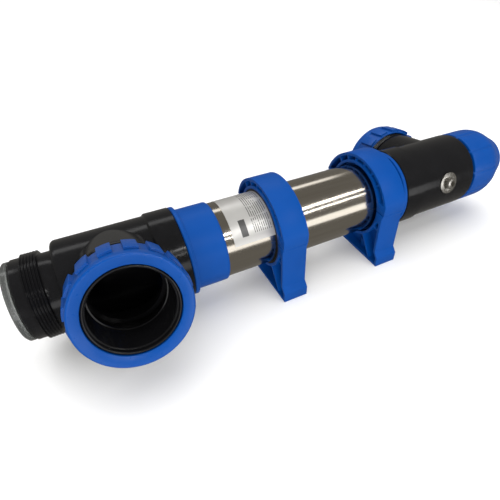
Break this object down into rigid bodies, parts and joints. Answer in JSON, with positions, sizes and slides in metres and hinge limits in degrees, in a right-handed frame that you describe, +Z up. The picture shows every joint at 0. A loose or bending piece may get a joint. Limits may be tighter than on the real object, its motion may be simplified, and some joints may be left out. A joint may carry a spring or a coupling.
{
  "type": "uv clarifier",
  "caption": "Flow-through UV clarifier: steel tube between two pressure tees with union nuts, a sight glass, a screw-on lamp cap and hinged pipe clamps.",
  "frame": {"origin": "middle of the inlet clamp's underside, on the mounting plane", "axes": "+X along the tube towards the lamp connection, +Y to the rear, +Z up from the mounting plane"},
  "size_m": [0.5713, 0.1911, 0.1355],
  "materials": {
    "black_pvc": "semi-gloss moulded PVC",
    "blue_plastic": "satin moulded plastic",
    "blue_nut_plastic": "semi-gloss moulded plastic",
    "stainless": "fine drawn satin",
    "bolt_steel": "turned",
    "foil": "satin silver foil",
    "rubber": "matt",
    "clear_glass": "clear",
    "quartz": "clear",
    "lamp_glass": "clear",
    "white_plastic": "machined",
    "ceramic": "glazed",
    "contact_brass": "bright",
    "lead_wire": "bright",
    "gland_plastic": "satin nylon"
  },
  "bodies": {
    "housing": {"inlet_tee": "black_pvc", "outlet_tee": "black_pvc", "inlet_sleeve": "blue_plastic", "outlet_sleeve": "blue_plastic", "reactor_tube": "stainless", "rating_label": "foil", "inlet_sleeve_seal": "rubber", "outlet_sleeve_seal": "rubber", "window_collar": "black_pvc", "sight_glass": "clear_glass", "sight_glass_seal": "rubber", "inlet_union_collar": "black_pvc", "inlet_union_tail": "black_pvc", "inlet_union_seal": "rubber", "outlet_union_collar": "black_pvc", "outlet_union_tail": "black_pvc", "outlet_union_seal": "rubber", "end_collar": "black_pvc", "sleeve_seat": "white_plastic", "sleeve_seat_seal": "rubber", "quartz_sleeve": "quartz", "quartz_seal": "rubber", "quartz_support": "white_plastic", "lamp_glass": "lamp_glass", "lamp_tip": "ceramic", "lamp_base": "ceramic", "lamp_pins": "contact_brass", "lamp_wire": "lead_wire", "lamp_socket": "ceramic", "earth_bolt": "bolt_steel", "earth_washer": "bolt_steel", "earth_seal": "rubber", "earth_nut": "bolt_steel", "inlet_clamp_base": "blue_plastic", "inlet_clamp_pin": "blue_plastic", "inlet_clamp_liner": "rubber", "outlet_clamp_base": "blue_plastic", "outlet_clamp_pin": "blue_plastic"},
    "inlet_nut": {"inlet_union_nut": "blue_nut_plastic"},
    "outlet_nut": {"outlet_union_nut": "blue_nut_plastic"},
    "cap": {"end_cap": "blue_nut_plastic", "gland_body": "gland_plastic", "gland_locknut": "gland_plastic", "gland_grommet": "rubber"},
    "gland_top": {"gland_nut": "gland_plastic"},
    "sleeve_nut": {"quartz_nut": "white_plastic"},
    "inlet_strap": {"inlet_clamp_strap": "blue_plastic"},
    "outlet_strap": {"outlet_clamp_strap": "blue_plastic"}
  },
  "joints": [
    {"name": "inlet_nut_turn", "type": "hinge", "parent": "housing", "child": "inlet_nut", "pos_m": [-0.1555, -0.07493, 0.08902], "axis": [0, -0.9367, 0.3502], "continuous": true},
    {"name": "outlet_nut_turn", "type": "hinge", "parent": "housing", "child": "outlet_nut", "pos_m": [0.2025, 0.0651, 0.05011], "axis": [0, 0.9863, -0.165], "continuous": true},
    {"name": "cap_turn", "type": "hinge", "parent": "housing", "child": "cap", "pos_m": [0.27, 0, 0.061], "axis": [1, 0, 0], "continuous": true},
    {"name": "gland_nut_turn", "type": "hinge", "parent": "cap", "child": "gland_top", "pos_m": [0.322, 0, 0.061], "axis": [1, 0, 0], "continuous": true},
    {"name": "sleeve_nut_turn", "type": "hinge", "parent": "housing", "child": "sleeve_nut", "pos_m": [0.291, 0, 0.061], "axis": [1, 0, 0], "continuous": true},
    {"name": "inlet_strap_open", "type": "hinge", "parent": "housing", "child": "inlet_strap", "pos_m": [0, 0.0524, 0.065], "axis": [-1, 0, 0], "range_deg": [0, 100]},
    {"name": "outlet_strap_open", "type": "hinge", "parent": "housing", "child": "outlet_strap", "pos_m": [0.119, 0.0524, 0.065], "axis": [-1, 0, 0], "range_deg": [0, 100]}
  ]
}
